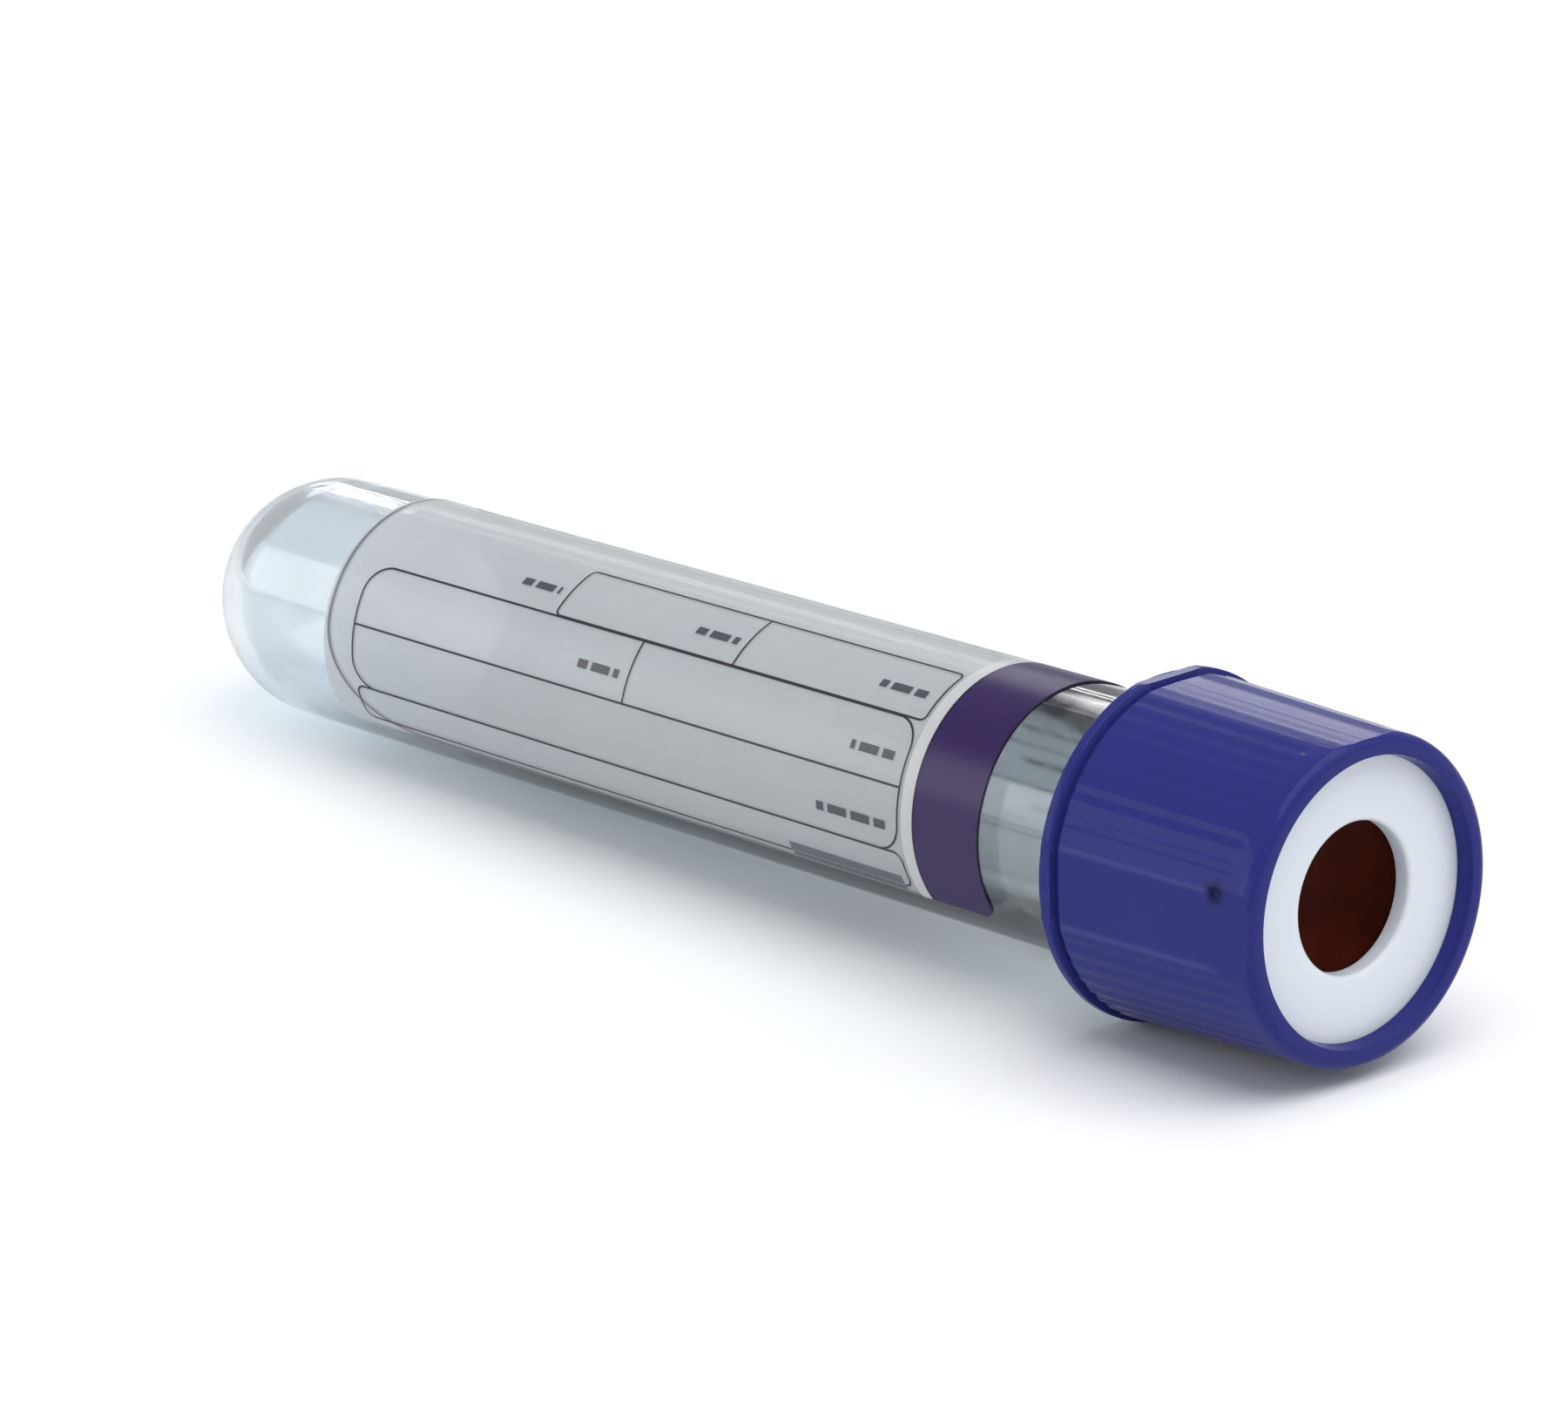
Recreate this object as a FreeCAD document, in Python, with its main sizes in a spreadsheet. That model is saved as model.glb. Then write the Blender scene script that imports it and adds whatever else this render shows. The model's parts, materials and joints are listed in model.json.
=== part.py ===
import FreeCAD, Part
import Sketcher
import os
from math import acos, atan2, degrees, hypot

# A plastic blood collection tube, 13 mm by 75 mm, closed by a twist-off cap. The tube, its label,
# the rubber stopper, the cap's colour ring and the cap's shell are modelled standing, with the
# round end at height 0 and the axis up, and then laid down as the closed tube comes to rest: on
# its round end and on one of the cap's flat grips.

os.makedirs("parts", exist_ok=True)
doc = FreeCAD.newDocument("BloodCollectionTube")

# --- driving dimensions: millimetres, and degrees where the name says angle ---------------------

sheet = doc.addObject("Spreadsheet::Sheet", "Dim")

SIZES = [
    ("tube_length", 75.0, "round end to rim"),
    ("mouth_radius", 6.5, "outside of the tube at its rim"),
    ("draft_angle", 0.25, "taper of the moulded wall, per side"),
    ("tube_wall", 1.0, "wall of the tube, and of its round end"),
    ("rim_round", 0.35, "rounding of the rim's two edges"),

    ("thread_below_rim", 7.1, "rim down to the foot of each thread's centre line"),
    ("thread_starts", 3, "how many threads share the neck"),
    ("thread_lead", 15.0, "rise of a thread in one turn"),
    ("thread_rise", 3.3, "rise of each thread from end to end"),
    ("thread_depth", 0.5, "how far a thread stands out of the neck"),
    ("thread_crest", 0.8, "width of a thread's flat top"),
    ("flank_angle", 27.0, "slope of the thread's sides"),
    ("thread_gap", 0.12, "play between a thread and the cap's thread above it"),
    ("neck_gap", 0.1, "play between the cap's inner edges and the neck"),

    ("label_foot", 12.2, "round end to the label's lower edge"),
    ("label_below_rim", 15.1, "rim down to the label's upper edge"),
    ("label_thickness", 0.1, "film and glue"),
    ("label_sweep_angle", 295.0, "how far the label goes round"),
    ("label_start_angle", 12.0, "from the resting side to the label's first edge"),
    ("label_corner", 1.0, "rounding of the label's corners"),
    ("glue_gap", 0.01, "tube to label"),

    ("plug_depth", 8.5, "rim down to the plug's lower end"),
    ("plug_gap", 0.03, "play between the plug's seals and the bore"),
    ("plug_wall", 2.0, "rubber round the plug's hollow"),
    ("plug_hollow", 1.5, "straight part of the hollow below its dome"),
    ("plug_lead", 0.8, "height of the plug's tapered start"),
    ("seal_land", 1.5, "height of each sealing band"),
    ("seal_relief", 0.25, "how far the plug draws in between its seals"),
    ("seat_gap", 0.05, "flat faces that meet across the moving pieces"),
    ("flange_thickness", 2.1, "the stopper's flange on the rim"),
    ("flange_gap", 0.1, "play between the flange and the shell round it"),
    ("dish_margin", 0.15, "edge of the dish inside the ring's hole"),
    ("dish_depth", 0.9, "hollow of the dish in the flange's top"),

    ("ring_hole_radius", 3.65, "where the needle holder reaches the stopper"),
    ("ring_thickness", 0.9, "the colour ring"),
    ("ring_gap", 0.05, "the ring in its pocket"),
    ("ring_round", 0.25, "rounding of the ring's hole at its upper edge"),

    ("skirt_gap", 0.15, "play between the tube's threads and the shell"),
    ("skirt_drop", 9.7, "rim down to the shell's lower end"),
    ("foot_wall", 1.15, "shell wall above the collar"),
    ("crown_wall", 0.8, "shell wall at the crown"),
    ("crown_round", 0.55, "rounding of the crown's outer edge"),
    ("collar_step", 0.2, "how far the collar stands out"),
    ("collar_height", 0.5, "cylindrical part of the collar"),
    ("collar_bevel", 0.7, "height of the bevel under the collar"),
    ("collar_round", 0.12, "rounding of the collar's edges"),
    ("skirt_land", 0.3, "flat end of the skirt, outside its bore"),
    ("bead_land", 0.5, "height of the snap bead's inner face"),
    ("bead_ramp", 0.45, "height of the bead's slopes"),
    ("lip_grip", 0.3, "how far the shell's lip covers the ring"),
    ("lip_thickness", 0.85, "the lip over the ring"),
    ("lip_bevel", 0.15, "how far the lip's inner face leans outwards"),

    ("grip_count", 4, "flat grips round the shell"),
    ("grip_half_angle", 13.5, "half of what each flat grip covers"),
    ("groove_count", 9, "grooves between two flat grips"),
    ("groove_pitch_angle", 6.4, "groove to groove"),
    ("groove_radius", 0.6, "round bottom of a groove"),
    ("groove_depth", 0.1, "how deep a groove is cut"),
    ("groove_margin", 1.0, "crown down to a groove's end"),
    ("gate_radius", 0.4, "round bottom of the gate mark"),
    ("gate_depth", 0.12, "how deep the gate mark is"),
    ("gate_drop", 2.3, "crown down to the gate mark"),
]
for row, (name, size, meaning) in enumerate(SIZES, start=1):
    sheet.set(f"A{row}", meaning)
    sheet.set(f"B{row}", str(size))
    sheet.setAlias(f"B{row}", name)
doc.recompute()


def number(expression):
    """The value of an expression with the sheet as it stands."""
    return float(doc.Dim.evalExpression(expression))


# --- places that more than one piece uses, as expressions on the sheet ---------------------------

RIM = "Dim.tube_length"
SLOPE = "tan(Dim.draft_angle)"

# the round end is a sphere that the tapered wall leaves at a tangent
END_RADIUS = ("((Dim.mouth_radius * cos(Dim.draft_angle) - Dim.tube_length * sin(Dim.draft_angle))"
              " / (1 - sin(Dim.draft_angle)))")
BORE_END_RADIUS = f"({END_RADIUS} - Dim.tube_wall)"
BORE_MOUTH = "(Dim.mouth_radius - Dim.tube_wall / cos(Dim.draft_angle))"
PLUG_RADIUS = f"({BORE_MOUTH} - Dim.plug_depth * {SLOPE} - Dim.plug_gap)"

# the cap, from its bore outwards
CAVITY = "(Dim.mouth_radius + Dim.thread_depth + Dim.skirt_gap)"
NECK_CLEAR = "(Dim.mouth_radius + Dim.neck_gap)"
FLANGE_RADIUS = f"({CAVITY} - Dim.flange_gap)"
RING_RADIUS = f"({CAVITY} - Dim.ring_gap)"
LIP_RADIUS = f"({RING_RADIUS} - Dim.lip_grip)"
LIP_TOP_RADIUS = f"({LIP_RADIUS} + Dim.lip_bevel)"
CROWN_RADIUS = f"({CAVITY} + Dim.crown_wall)"
FOOT_RADIUS = f"({CAVITY} + Dim.foot_wall)"
COLLAR_RADIUS = f"({FOOT_RADIUS} + Dim.collar_step)"

# the cap, from the rim upwards
FLANGE_FOOT = f"({RIM} + Dim.seat_gap)"
FLANGE_TOP = f"({FLANGE_FOOT} + Dim.flange_thickness)"
RING_FOOT = f"({FLANGE_TOP} + Dim.seat_gap)"
RING_TOP = f"({RING_FOOT} + Dim.ring_thickness)"
LIP_FOOT = f"({RING_TOP} + Dim.ring_gap)"
CROWN = f"({LIP_FOOT} + Dim.lip_thickness)"

# the cap, from its lower end upwards
SKIRT_FOOT = f"({RIM} - Dim.skirt_drop)"
COLLAR_FOOT = f"({SKIRT_FOOT} + Dim.collar_bevel)"
COLLAR_TOP = f"({COLLAR_FOOT} + Dim.collar_height)"
LEDGE = f"({COLLAR_TOP} + Dim.collar_step / 2)"


# --- how the pieces are made ----------------------------------------------------------------------

def new_body(label):
    """One piece of the product."""
    body = doc.addObject("PartDesign::Body", label)
    body.Label = label
    return body


def origin_feature(body, role):
    """One of the body's own origin planes or axes."""
    return next(item for item in body.Origin.OriginFeatures if item.Role == role)


def section(body, name, corners, centres=None):
    """A closed outline on the body's XZ plane. Each corner is a pair of expressions, the distance
    from the axis and the height. centres gives the middle of each round stretch, by the number of
    the corner that it starts from."""
    centres = centres or {}
    sketch = body.newObject("Sketcher::SketchObject", name)
    sketch.AttachmentSupport = (origin_feature(body, "XZ_Plane"), [""])
    sketch.MapMode = "FlatFace"
    spots = [FreeCAD.Vector(number(x), number(y), 0) for x, y in corners]
    ends = []
    for index, here in enumerate(spots):
        there = spots[(index + 1) % len(spots)]
        if index not in centres:
            line = sketch.addGeometry(Part.LineSegment(here, there))
            ends.append((line, 1, 2))
            continue
        middle = FreeCAD.Vector(*[number(text) for text in centres[index]], 0)
        turn = (here - middle).cross(there - middle).z
        first, last = (here, there) if turn > 0 else (there, here)
        angles = [atan2(spot.y - middle.y, spot.x - middle.x) for spot in (first, last)]
        circle = Part.Circle(middle, FreeCAD.Vector(0, 0, 1), (here - middle).Length)
        arc = sketch.addGeometry(Part.ArcOfCircle(circle, angles[0], angles[1]))
        ends.append((arc, 1, 2) if turn > 0 else (arc, 2, 1))

    def bind(kind, geometry, point, expression):
        """Hold a point at the distance from the axis, or the height, that the sheet gives."""
        if expression == "0":
            axis = -2 if kind == "DistanceX" else -1
            sketch.addConstraint(Sketcher.Constraint("PointOnObject", geometry, point, axis))
            return
        rule = Sketcher.Constraint(kind, -1, 1, geometry, point, number(expression))
        sketch.setExpression(f"Constraints[{sketch.addConstraint(rule)}]", expression)

    for index, (geometry, start, end) in enumerate(ends):
        before, _, before_end = ends[index - 1]
        sketch.addConstraint(Sketcher.Constraint("Coincident", before, before_end, geometry, start))
        x, y = corners[index]
        if (index - 1) % len(corners) in centres:
            # the arc that ends here leaves the corner one way to go, along its own circle
            middle = [number(text) for text in centres[(index - 1) % len(corners)]]
            across = abs(spots[index].x - middle[0]) < abs(spots[index].y - middle[1])
            bind("DistanceX" if across else "DistanceY", geometry, start, x if across else y)
        else:
            bind("DistanceX", geometry, start, x)
            bind("DistanceY", geometry, start, y)
        if index in centres:
            bind("DistanceX", geometry, 3, centres[index][0])
            bind("DistanceY", geometry, 3, centres[index][1])
    return sketch


def turned(body, name, sketch, sweep="360"):
    """Turn an outline about the tube's axis."""
    solid = body.newObject("PartDesign::Revolution", name)
    solid.Profile = sketch
    solid.ReferenceAxis = (sketch, ["V_Axis"])
    solid.setExpression("Angle", sweep)
    doc.recompute()
    return solid


def rounded(body, name, edges, radius):
    """Round the edges of the piece that pass a test."""
    base = body.Tip
    picked = [f"Edge{i}" for i, edge in enumerate(base.Shape.Edges, start=1) if edges(edge)]
    fillet = body.newObject("PartDesign::Fillet", name)
    fillet.Base = (base, picked)
    fillet.setExpression("Radius", radius)
    doc.recompute()
    return fillet


def rim_at(radius, height):
    """A test for the round edge of that radius about the axis, at that height."""
    def test(edge):
        if edge.Degenerated or edge.Curve.TypeId != "Part::GeomCircle":
            return False
        return (abs(edge.Curve.Radius - number(radius)) < 0.01
                and abs(edge.Curve.Center.z - number(height)) < 0.01)
    return test


def thread(body, name, root, crest, middle, crest_width):
    """One helical thread with sloping sides, then as many as the neck has starts. Its outline
    runs from the root, sunk in the wall, to the crest."""
    reach = f"abs({root} - {crest}) * tan(Dim.flank_angle)"
    outline = section(body, f"{name}Outline", [
        (root, f"{middle} - {crest_width} / 2 - {reach}"),
        (root, f"{middle} + {crest_width} / 2 + {reach}"),
        (crest, f"{middle} + {crest_width} / 2"),
        (crest, f"{middle} - {crest_width} / 2")])
    helix = body.newObject("PartDesign::AdditiveHelix", f"{name}Helix")
    helix.Profile = outline
    helix.ReferenceAxis = (outline, ["V_Axis"])
    helix.Mode = "pitch-height-angle"
    helix.setExpression("Pitch", "Dim.thread_lead")
    helix.setExpression("Height", "Dim.thread_rise")
    doc.recompute()
    return around(body, f"{name}Starts", [helix], "Dim.thread_starts")


def around(body, name, features, count):
    """Repeat features evenly about the tube's axis."""
    pattern = body.newObject("PartDesign::PolarPattern", name)
    pattern.Originals = features
    pattern.Axis = (origin_feature(body, "Z_Axis"), [""])
    pattern.Angle = 360
    pattern.setExpression("Occurrences", count)
    body.Tip = pattern
    doc.recompute()
    return pattern


# --- tube -----------------------------------------------------------------------------------------
# One moulding of clear plastic: a slightly tapered wall that runs at a tangent into a round end,
# a rounded rim, and three short threads on the neck that lift the cap when it is twisted.

tube = new_body("tube")
turned(tube, "TubeWall", section(tube, "TubeWallOutline", [
    ("0", "0"),
    (f"{END_RADIUS} * cos(Dim.draft_angle)", f"{END_RADIUS} * (1 - sin(Dim.draft_angle))"),
    ("Dim.mouth_radius", RIM),
    (BORE_MOUTH, RIM),
    (f"{BORE_END_RADIUS} * cos(Dim.draft_angle)",
     f"{END_RADIUS} - {BORE_END_RADIUS} * sin(Dim.draft_angle)"),
    ("0", "Dim.tube_wall")],
    centres={0: ("0", END_RADIUS), 4: ("0", END_RADIUS)}))
rounded(tube, "RimOutside", rim_at("Dim.mouth_radius", RIM), "Dim.rim_round")
rounded(tube, "RimInside", rim_at(BORE_MOUTH, RIM), "Dim.rim_round")

THREAD_MIDDLE = f"({RIM} - Dim.thread_below_rim)"
THREAD_CREST = "(Dim.mouth_radius + Dim.thread_depth)"
thread(tube, "NeckThread", "(Dim.mouth_radius - Dim.tube_wall / 2)", THREAD_CREST, THREAD_MIDDLE,
       "Dim.thread_crest")

# --- label ----------------------------------------------------------------------------------------
# A printed film round most of the tube, with rounded corners. The strip that it leaves clear shows
# the blood level, and lies underneath when the tube rests.

LABEL_HEAD = f"({RIM} - Dim.label_below_rim)"


def beside_wall(height, distance):
    """A corner at a height, and at a distance outside the tube's tapered wall."""
    return f"Dim.mouth_radius - ({RIM} - {height}) * {SLOPE} + {distance}", height


label = new_body("label")
label_outline = section(label, "LabelOutline", [
    beside_wall("Dim.label_foot", "Dim.glue_gap"),
    beside_wall("Dim.label_foot", "Dim.glue_gap + Dim.label_thickness"),
    beside_wall(LABEL_HEAD, "Dim.glue_gap + Dim.label_thickness"),
    beside_wall(LABEL_HEAD, "Dim.glue_gap")])
label_outline.AttachmentOffset = FreeCAD.Placement(
    FreeCAD.Vector(), FreeCAD.Rotation(FreeCAD.Vector(0, 1, 0), number("Dim.label_start_angle")))
turned(label, "LabelWrap", label_outline, "Dim.label_sweep_angle")
# a corner's rounding runs straight through the curved film, so the film's thickness limits it
LABEL_RADIUS = beside_wall("Dim.label_foot", "0")[0]
rounded(label, "LabelCorners",
        lambda edge: abs(edge.Length - number("Dim.label_thickness")) < 0.01,
        f"min(Dim.label_corner; sqrt(1.7 * Dim.label_thickness * ({LABEL_RADIUS})))")

# --- stopper --------------------------------------------------------------------------------------
# Moulded rubber: a hollow plug with two sealing bands in the bore, a flange that seats on the rim
# and turns freely in the shell, and a dish in its top where a needle goes through.

PLUG_FOOT = f"({RIM} - Dim.plug_depth)"
RELIEF = f"({PLUG_RADIUS} - Dim.seal_relief)"
HOLLOW = f"({PLUG_RADIUS} - Dim.plug_wall)"
DOME_MIDDLE = f"({PLUG_FOOT} + Dim.plug_hollow)"
DISH = "(Dim.ring_hole_radius - Dim.dish_margin)"
DISH_SPHERE = f"(({DISH}^2 + Dim.dish_depth^2) / (2 * Dim.dish_depth))"
SEAL_ONE = f"({PLUG_FOOT} + Dim.plug_lead)"
SEAL_TWO = f"({FLANGE_FOOT} - Dim.plug_lead - Dim.seal_land)"

stopper = new_body("stopper")
turned(stopper, "StopperBody", section(stopper, "StopperOutline", [
    (HOLLOW, PLUG_FOOT),
    (RELIEF, PLUG_FOOT),
    (PLUG_RADIUS, SEAL_ONE),
    (PLUG_RADIUS, f"{SEAL_ONE} + Dim.seal_land"),
    (RELIEF, f"{SEAL_ONE} + Dim.seal_land + Dim.seal_relief"),
    (RELIEF, f"{SEAL_TWO} - Dim.seal_relief"),
    (PLUG_RADIUS, SEAL_TWO),
    (PLUG_RADIUS, f"{SEAL_TWO} + Dim.seal_land"),
    (RELIEF, f"{SEAL_TWO} + Dim.seal_land + Dim.seal_relief"),
    (RELIEF, FLANGE_FOOT),
    (FLANGE_RADIUS, FLANGE_FOOT),
    (FLANGE_RADIUS, FLANGE_TOP),
    (DISH, FLANGE_TOP),
    ("0", f"{FLANGE_TOP} - Dim.dish_depth"),
    ("0", f"{DOME_MIDDLE} + {HOLLOW}"),
    (HOLLOW, DOME_MIDDLE)],
    centres={12: ("0", f"{FLANGE_TOP} - Dim.dish_depth + {DISH_SPHERE}"),
             14: ("0", DOME_MIDDLE)}))

# --- colour ring ----------------------------------------------------------------------------------
# A flat plastic ring clipped under the shell's lip. Its colour tells the draw volume, and its hole
# lets the needle holder reach the stopper.

ring = new_body("cap_ring")
turned(ring, "RingBody", section(ring, "RingOutline", [
    ("Dim.ring_hole_radius", RING_FOOT),
    (RING_RADIUS, RING_FOOT),
    (RING_RADIUS, RING_TOP),
    ("Dim.ring_hole_radius", RING_TOP)]))
rounded(ring, "RingHoleEdge", rim_at("Dim.ring_hole_radius", RING_TOP), "Dim.ring_round")

# --- cap shell ------------------------------------------------------------------------------------
# A moulded skirt that tapers to a rounded crown. Inside, a lip holds the ring, a snap bead holds
# the stopper's flange, and three threads ride on those of the neck. Outside, a collar follows the
# wall round its lower end, and flat grips alternate with groups of fine grooves.

BEAD_TOP = f"({FLANGE_FOOT} - Dim.flange_gap)"
BEAD_FOOT = f"({BEAD_TOP} - 2 * Dim.bead_ramp - Dim.bead_land)"

shell = new_body("cap_shell")
turned(shell, "ShellBody", section(shell, "ShellOutline", [
    (f"{CAVITY} + Dim.collar_step", SKIRT_FOOT),
    (f"{CAVITY} + Dim.collar_step + Dim.skirt_land", SKIRT_FOOT),
    (COLLAR_RADIUS, COLLAR_FOOT),
    (COLLAR_RADIUS, COLLAR_TOP),
    (FOOT_RADIUS, LEDGE),
    (CROWN_RADIUS, CROWN),
    (LIP_TOP_RADIUS, CROWN),
    (LIP_RADIUS, LIP_FOOT),
    (CAVITY, LIP_FOOT),
    (CAVITY, BEAD_TOP),
    (NECK_CLEAR, f"{BEAD_TOP} - Dim.bead_ramp"),
    (NECK_CLEAR, f"{BEAD_FOOT} + Dim.bead_ramp"),
    (CAVITY, BEAD_FOOT),
    (CAVITY, f"{SKIRT_FOOT} + Dim.collar_step * 2")]))
rounded(shell, "CrownEdge", rim_at(CROWN_RADIUS, CROWN), "Dim.crown_round")
rounded(shell, "CollarLowerEdge", rim_at(COLLAR_RADIUS, COLLAR_FOOT), "Dim.collar_round")
rounded(shell, "CollarUpperEdge", rim_at(COLLAR_RADIUS, COLLAR_TOP), "Dim.collar_round")

# a flat grip is cut by a plane that leans with the wall, and the collar keeps its step below it
GRIP_FOOT = f"({FOOT_RADIUS} * cos(Dim.grip_half_angle))"
COLLAR_FLAT = f"({GRIP_FOOT} + Dim.collar_step)"
flat = shell.newObject("PartDesign::Pocket", "FlatGrip")
flat.Profile = section(shell, "FlatGripOutline", [
    (COLLAR_FLAT, SKIRT_FOOT),
    (f"{COLLAR_RADIUS} * 2", SKIRT_FOOT),
    (f"{COLLAR_RADIUS} * 2", CROWN),
    (f"{CROWN_RADIUS} * cos(Dim.grip_half_angle)", CROWN),
    (GRIP_FOOT, LEDGE),
    (COLLAR_FLAT, COLLAR_TOP)])
flat.Type = "ThroughAll"
flat.Midplane = True
doc.recompute()
around(shell, "FlatGrips", [flat], "Dim.grip_count")

# a groove is a round-bottomed cut whose axis leans with the wall, from the ledge to near the crown
GROOVE_AXIS = "(Dim.groove_radius - Dim.groove_depth)"
WALL_LEAN = f"atan(({FOOT_RADIUS} - {CROWN_RADIUS}) / ({CROWN} - {LEDGE}))"
FIRST_GROOVE = ("(180 / Dim.grip_count"
                " - (Dim.groove_count - 1) / 2 * Dim.groove_pitch_angle)")
groove = shell.newObject("PartDesign::SubtractiveCylinder", "GripGroove")
groove.setExpression("Radius", "Dim.groove_radius")
groove.setExpression("Height", f"{CROWN} - {LEDGE} - Dim.groove_margin")
turn = FreeCAD.Rotation(FreeCAD.Vector(0, 0, 1), number(FIRST_GROOVE))
lean = FreeCAD.Rotation(FreeCAD.Vector(0, 1, 0), -number(WALL_LEAN))
groove_foot = FreeCAD.Vector(number(f"{FOOT_RADIUS} + {GROOVE_AXIS}"), 0, number(LEDGE))
groove.Placement = FreeCAD.Placement(turn.multVec(groove_foot), turn * lean)
doc.recompute()

grooves = shell.newObject("PartDesign::MultiTransform", "GripGrooves")
grooves.Originals = [groove]
steps = []
for name, count, span in (
        ("OneGroup", "Dim.groove_count", "(Dim.groove_count - 1) * Dim.groove_pitch_angle"),
        ("EachGroup", "Dim.grip_count", "360")):
    step = shell.newObject("PartDesign::PolarPattern", name)
    step.Axis = (origin_feature(shell, "Z_Axis"), [""])
    step.setExpression("Angle", span)
    step.setExpression("Occurrences", count)
    steps.append(step)
grooves.Transformations = steps
shell.Tip = grooves
doc.recompute()

# a small dimple marks the moulding gate, on the edge of one flat grip
GATE_LEVEL = f"({CROWN} - Dim.gate_drop)"
GATE_RADIUS = (f"({FOOT_RADIUS} - ({GATE_LEVEL} - {LEDGE}) * tan({WALL_LEAN})"
               " + Dim.gate_radius - Dim.gate_depth)")
gate = shell.newObject("PartDesign::SubtractiveSphere", "GateMark")
gate.setExpression("Radius", "Dim.gate_radius")
edge_turn = FreeCAD.Rotation(FreeCAD.Vector(0, 0, 1), -90 - number("Dim.grip_half_angle"))
gate_middle = FreeCAD.Vector(number(GATE_RADIUS), 0, number(GATE_LEVEL))
gate.Placement = FreeCAD.Placement(edge_turn.multVec(gate_middle), edge_turn)
doc.recompute()

# the shell's threads sit just above the neck's, with the same lead, so that a twist lifts the cap
ENGAGED = f"({THREAD_CREST} - {NECK_CLEAR})"
LUG_MIDDLE = (f"({THREAD_MIDDLE} + Dim.thread_crest + {ENGAGED} * tan(Dim.flank_angle)"
              " + Dim.thread_gap)")
thread(shell, "SkirtThread", f"({CAVITY} + Dim.crown_wall / 3)", NECK_CLEAR, LUG_MIDDLE,
       "Dim.thread_crest")

# --- at rest --------------------------------------------------------------------------------------
# The closed tube lies on its round end and on the collar, on the edge where the collar's flat below
# one grip meets the bevel under it. The origin is on the floor, under the middle.

pieces = [tube, label, stopper, ring, shell]
doc.recompute()

bevel_slope = number(f"({COLLAR_RADIUS} - {CAVITY} - Dim.collar_step - Dim.skirt_land)"
                     " / Dim.collar_bevel")
bevel_start = number(f"{CAVITY} + Dim.collar_step + Dim.skirt_land")
edge_radius = number(COLLAR_FLAT)
end_radius = number(END_RADIUS)
edge_ahead = number(SKIRT_FOOT) + (edge_radius - bevel_start) / bevel_slope - end_radius
tilt = degrees(acos(end_radius / hypot(edge_radius, edge_ahead)) - atan2(edge_ahead, edge_radius))

lying = FreeCAD.Rotation(FreeCAD.Vector(0, 1, 0), 90 - tilt)
laid = [piece.Shape.transformed(FreeCAD.Placement(FreeCAD.Vector(), lying).toMatrix())
        for piece in pieces]
extent = Part.makeCompound(laid).optimalBoundingBox(False, False)
origin = FreeCAD.Vector((extent.XMin + extent.XMax) / 2, (extent.YMin + extent.YMax) / 2,
                        extent.ZMin)
for piece in pieces:
    piece.Placement = FreeCAD.Placement(origin.negative(), lying)
doc.recompute()

# --- check, then write ----------------------------------------------------------------------------

failed = [item.Name for item in doc.Objects if "Invalid" in item.State or "Error" in item.State]
if failed:
    raise RuntimeError(f"failed features: {', '.join(failed)}")

# every cut has taken material away, and every thread has added some
CHANGES = {
    "PartDesign::Pocket": -1,
    "PartDesign::SubtractiveCylinder": -1,
    "PartDesign::SubtractiveSphere": -1,
    "PartDesign::AdditiveHelix": 1,
}
for item in doc.Objects:
    source = item.Originals[0] if getattr(item, "Originals", None) else item
    change = CHANGES.get(source.TypeId)
    if change and change * (item.Shape.Volume - item.BaseFeature.Shape.Volume) < 0.01:
        raise RuntimeError(f"{item.Label} changes nothing")
for piece in pieces:
    if piece.Shape.isNull() or not piece.Shape.isValid() or len(piece.Shape.Solids) != 1:
        raise RuntimeError(f"{piece.Label} isn't one sound solid")
for piece in pieces:
    piece.Shape.exportStep(f"parts/{piece.Label}.step")
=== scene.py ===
import json
from math import acos, atan2, cos, pi, radians, sin, tan

import bmesh
import bpy
from mathutils import Matrix, Vector


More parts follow.
